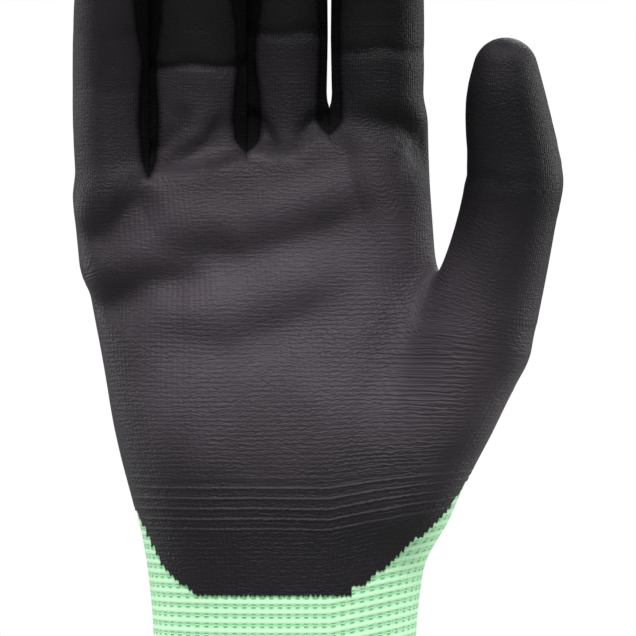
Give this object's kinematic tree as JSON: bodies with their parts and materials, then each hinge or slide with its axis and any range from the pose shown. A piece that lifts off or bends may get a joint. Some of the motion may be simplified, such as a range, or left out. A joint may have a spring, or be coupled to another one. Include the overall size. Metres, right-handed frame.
{
  "type": "cut resistant glove",
  "caption": "Right-hand cut resistant work glove in its worn shape: mint green seamless knit with a matt black dipped palm, open cuff and bending digits.",
  "frame": {"origin": "centre of the cuff's opening, in the plane of the hem", "axes": "+Z along the fingers, the palm faces -Y, +X towards the thumb"},
  "size_m": [0.1311, 0.0611, 0.2588],
  "materials": {
    "knit": "matte",
    "coating": "satin",
    "elastic_yarn": "matte",
    "hem_thread": "matte"
  },
  "bodies": {
    "cuff": {"cuff_knit": "knit", "cuff_elastic": "elastic_yarn", "hem_binding": "hem_thread", "wrist_fold": "knit"},
    "palm": {"palm_knit": "knit", "palm_coating": "coating", "little_base_fold": "coating", "ring_base_fold": "coating", "middle_base_fold": "coating", "index_base_fold": "coating", "thumb_mid_fold": "coating"},
    "little_base": {"little_base_knit": "knit", "little_base_coating": "coating", "little_mid_fold": "coating"},
    "little_mid": {"little_mid_knit": "knit", "little_mid_coating": "coating", "little_tip_fold": "coating"},
    "little_tip": {"little_tip_knit": "knit", "little_tip_coating": "coating"},
    "ring_base": {"ring_base_knit": "knit", "ring_base_coating": "coating", "ring_mid_fold": "coating"},
    "ring_mid": {"ring_mid_knit": "knit", "ring_mid_coating": "coating", "ring_tip_fold": "coating"},
    "ring_tip": {"ring_tip_knit": "knit", "ring_tip_coating": "coating"},
    "middle_base": {"middle_base_knit": "knit", "middle_base_coating": "coating", "middle_mid_fold": "coating"},
    "middle_mid": {"middle_mid_knit": "knit", "middle_mid_coating": "coating", "middle_tip_fold": "coating"},
    "middle_tip": {"middle_tip_knit": "knit", "middle_tip_coating": "coating"},
    "index_base": {"index_base_knit": "knit", "index_base_coating": "coating", "index_mid_fold": "coating"},
    "index_mid": {"index_mid_knit": "knit", "index_mid_coating": "coating", "index_tip_fold": "coating"},
    "index_tip": {"index_tip_knit": "knit", "index_tip_coating": "coating"},
    "thumb_mid": {"thumb_mid_knit": "knit", "thumb_mid_coating": "coating", "thumb_tip_fold": "coating"},
    "thumb_tip": {"thumb_tip_knit": "knit", "thumb_tip_coating": "coating"}
  },
  "joints": [
    {"name": "wrist_bend", "type": "hinge", "parent": "cuff", "child": "palm", "pos_m": [0, 0, 0.048], "axis": [1, 0, 0], "range_deg": [-24, 24], "stiffness_Nm_per_rad": 1, "deforming": ["wrist_fold"]},
    {"name": "little_base_bend", "type": "hinge", "parent": "palm", "child": "little_base", "pos_m": [-0.0466, 0, 0.1795], "axis": [1, 0, 0], "range_deg": [-10, 50], "stiffness_Nm_per_rad": 0.06, "deforming": ["little_base_fold"]},
    {"name": "little_mid_bend", "type": "hinge", "parent": "little_base", "child": "little_mid", "pos_m": [-0.0466, -0.00183, 0.1969], "axis": [1, 0, 0], "range_deg": [-18, 66], "stiffness_Nm_per_rad": 0.04, "deforming": ["little_mid_fold"]},
    {"name": "little_tip_bend", "type": "hinge", "parent": "little_mid", "child": "little_tip", "pos_m": [-0.0466, -0.00895, 0.21289], "axis": [1, 0, 0], "range_deg": [-9, 33], "stiffness_Nm_per_rad": 0.02, "deforming": ["little_tip_fold"]},
    {"name": "ring_base_bend", "type": "hinge", "parent": "palm", "child": "ring_base", "pos_m": [-0.0232, 0, 0.1835], "axis": [1, 0, 0], "range_deg": [-10, 50], "stiffness_Nm_per_rad": 0.06, "deforming": ["ring_base_fold"]},
    {"name": "ring_mid_bend", "type": "hinge", "parent": "ring_base", "child": "ring_mid", "pos_m": [-0.0232, -0.00225, 0.20488], "axis": [1, 0, 0], "range_deg": [-18, 66], "stiffness_Nm_per_rad": 0.04, "deforming": ["ring_mid_fold"]},
    {"name": "ring_tip_bend", "type": "hinge", "parent": "ring_mid", "child": "ring_tip", "pos_m": [-0.0232, -0.0114, 0.22544], "axis": [1, 0, 0], "range_deg": [-9, 33], "stiffness_Nm_per_rad": 0.02, "deforming": ["ring_tip_fold"]},
    {"name": "middle_base_bend", "type": "hinge", "parent": "palm", "child": "middle_base", "pos_m": [0.0016, 0, 0.189], "axis": [1, 0, 0], "range_deg": [-10, 50], "stiffness_Nm_per_rad": 0.06, "deforming": ["middle_base_fold"]},
    {"name": "middle_mid_bend", "type": "hinge", "parent": "middle_base", "child": "middle_mid", "pos_m": [0.0016, -0.00246, 0.21237], "axis": [1, 0, 0], "range_deg": [-18, 66], "stiffness_Nm_per_rad": 0.04, "deforming": ["middle_mid_fold"]},
    {"name": "middle_tip_bend", "type": "hinge", "parent": "middle_mid", "child": "middle_tip", "pos_m": [0.0016, -0.01242, 0.23475], "axis": [1, 0, 0], "range_deg": [-9, 33], "stiffness_Nm_per_rad": 0.02, "deforming": ["middle_tip_fold"]},
    {"name": "index_base_bend", "type": "hinge", "parent": "palm", "child": "index_base", "pos_m": [0.025, 0, 0.196], "axis": [1, 0, 0], "range_deg": [-10, 50], "stiffness_Nm_per_rad": 0.06, "deforming": ["index_base_fold"]},
    {"name": "index_mid_bend", "type": "hinge", "parent": "index_base", "child": "index_mid", "pos_m": [0.025, -0.00219, 0.21688], "axis": [1, 0, 0], "range_deg": [-18, 66], "stiffness_Nm_per_rad": 0.04, "deforming": ["index_mid_fold"]},
    {"name": "index_tip_bend", "type": "hinge", "parent": "index_mid", "child": "index_tip", "pos_m": [0.025, -0.01114, 0.23698], "axis": [1, 0, 0], "range_deg": [-9, 33], "stiffness_Nm_per_rad": 0.02, "deforming": ["index_tip_fold"]},
    {"name": "thumb_mid_bend", "type": "hinge", "parent": "palm", "child": "thumb_mid", "pos_m": [0.057, -0.016, 0.153], "axis": [0.866, -0.5, 0], "range_deg": [-10, 32], "stiffness_Nm_per_rad": 0.08, "deforming": ["thumb_mid_fold"]},
    {"name": "thumb_tip_bend", "type": "hinge", "parent": "thumb_mid", "child": "thumb_tip", "pos_m": [0.0605, -0.02, 0.172], "axis": [0.866, -0.5, 0], "range_deg": [-14, 50], "stiffness_Nm_per_rad": 0.05, "deforming": ["thumb_tip_fold"]}
  ],
  "couplings": [
    {"joint": "little_tip_bend", "follows": "little_mid_bend", "ratio": 0.5},
    {"joint": "ring_tip_bend", "follows": "ring_mid_bend", "ratio": 0.5},
    {"joint": "middle_tip_bend", "follows": "middle_mid_bend", "ratio": 0.5},
    {"joint": "index_tip_bend", "follows": "index_mid_bend", "ratio": 0.5}
  ]
}
